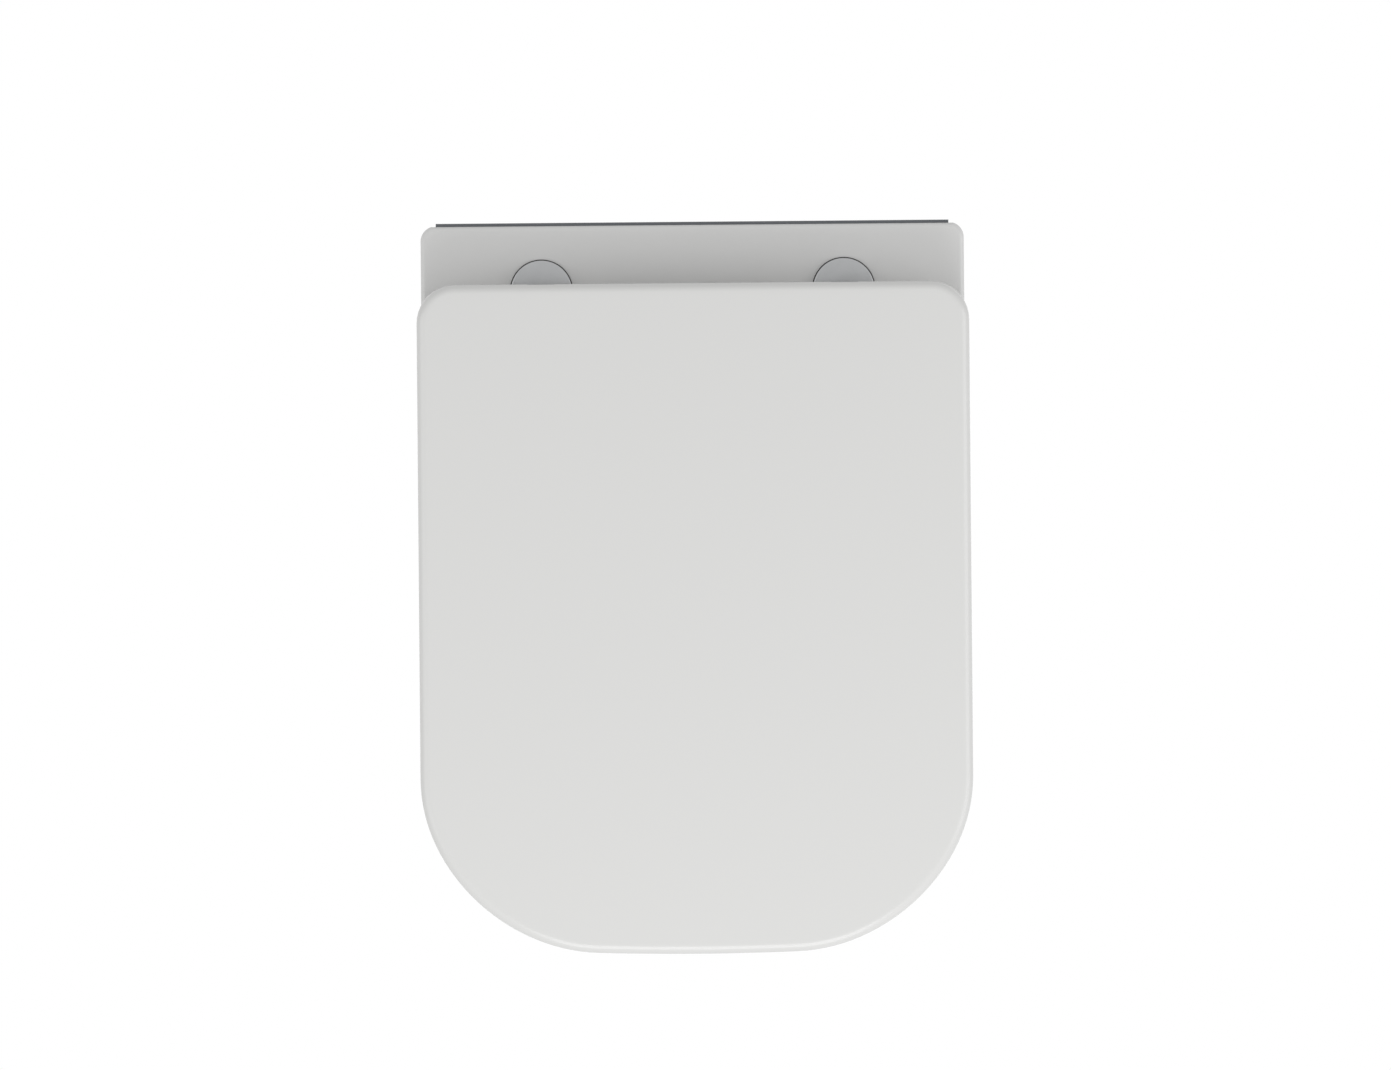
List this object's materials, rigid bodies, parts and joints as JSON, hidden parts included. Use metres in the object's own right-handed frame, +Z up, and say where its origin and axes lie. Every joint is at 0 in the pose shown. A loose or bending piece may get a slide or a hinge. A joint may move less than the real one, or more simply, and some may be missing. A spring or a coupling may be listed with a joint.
{
  "type": "wall hung toilet",
  "caption": "Wall hung toilet: a compact D-shaped glazed ceramic pan with a soft-closing seat and lid on cranked hinge brackets.",
  "frame": {"origin": "on the wall face, midway between the two wall studs", "axes": "+X along the wall to the right as seen from the room, +Y into the wall, +Z up"},
  "size_m": [0.36, 0.4774, 0.38],
  "materials": {
    "glazed_ceramic": "gloss",
    "white_thermoset": "gloss",
    "white_plastic": "satin",
    "grey_plastic": "satin",
    "chrome": "polished",
    "zinc_steel": "satin",
    "black_rubber": "matte",
    "white_rubber": "matte",
    "grey_foam": "matte"
  },
  "bodies": {
    "pan": {"pan": "glazed_ceramic", "wall_mat": "grey_foam", "stud_sleeves": "white_plastic", "stud_washers": "zinc_steel", "stud_nuts": "zinc_steel", "stud_caps": "white_plastic", "flush_inlet_seal": "black_rubber", "hinge_gaskets": "black_rubber", "hinge_bolts": "zinc_steel", "hinge_bushes": "black_rubber", "hinge_clamp_nuts": "grey_plastic", "hinge_bracket_left": "chrome", "hinge_bracket_right": "chrome", "hinge_disc_left": "chrome", "hinge_disc_right": "chrome", "seat_pin": "zinc_steel", "lid_pin": "zinc_steel", "seat_damper_rotor": "grey_plastic", "lid_damper_rotor": "grey_plastic"},
    "seat": {"seat_ring": "white_thermoset", "seat_buffers": "white_rubber", "seat_block_left": "white_plastic", "seat_block_right": "white_plastic", "seat_block_screws": "zinc_steel", "seat_damper_housing": "grey_plastic", "seat_pin_bush": "grey_plastic"},
    "lid": {"lid": "white_thermoset", "lid_buffers": "white_rubber", "lid_block_left": "white_plastic", "lid_block_right": "white_plastic", "lid_block_screws": "zinc_steel", "lid_damper_housing": "grey_plastic", "lid_pin_bush": "grey_plastic"}
  },
  "joints": [
    {"name": "seat_hinge", "type": "hinge", "parent": "pan", "child": "seat", "pos_m": [0, -0.0565, 0.11], "axis": [-1, 0, 0], "range_deg": [0, 93]},
    {"name": "lid_hinge", "type": "hinge", "parent": "seat", "child": "lid", "pos_m": [0, -0.0565, 0.11], "axis": [-1, 0, 0], "range_deg": [0, 93]}
  ]
}
